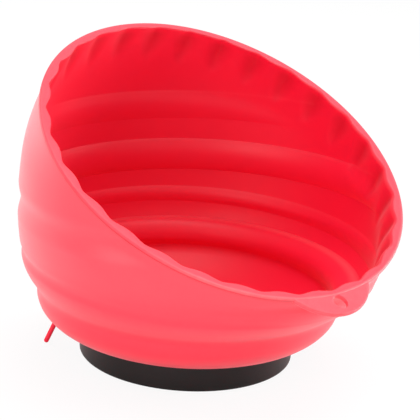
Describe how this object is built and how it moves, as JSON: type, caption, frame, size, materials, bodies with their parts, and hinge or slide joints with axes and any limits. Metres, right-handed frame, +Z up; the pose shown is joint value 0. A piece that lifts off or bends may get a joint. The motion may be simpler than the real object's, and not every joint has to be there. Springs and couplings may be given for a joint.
{
  "type": "magnetic parts tray",
  "caption": "Round flexible bellows bowl with a slanted scalloped mouth and a hanging tab, turning on a black magnet base that holds small steel parts.",
  "frame": {"origin": "centre of the base's flat standing face", "axes": "+Z up along the axis that the bowl turns on, -Y towards the low lip with the hanging tab, +X to the right of someone who faces the lip from outside"},
  "size_m": [0.15, 0.1543, 0.1269],
  "materials": {
    "red_rubber": "satin moulded silicone rubber, slightly translucent",
    "black_shell": "satin black moulding",
    "zinc_steel": "zinc plated steel",
    "stainless": "turned stainless steel",
    "ferrite": "dull ground ferrite"
  },
  "bodies": {
    "base": {"base_shell": "black_shell", "steel_cup": "zinc_steel", "ring_magnet": "ferrite", "centre_pole": "zinc_steel", "lock_nut": "zinc_steel", "base_lid": "black_shell", "pivot_sleeve": "zinc_steel", "clamp_washer": "stainless", "centre_screw": "stainless"},
    "bowl": {"bowl": "red_rubber"}
  },
  "joints": [
    {"name": "bowl_turn", "type": "hinge", "parent": "base", "child": "bowl", "pos_m": [0, 0, 0.012], "axis": [0, 0, 1], "continuous": true}
  ]
}
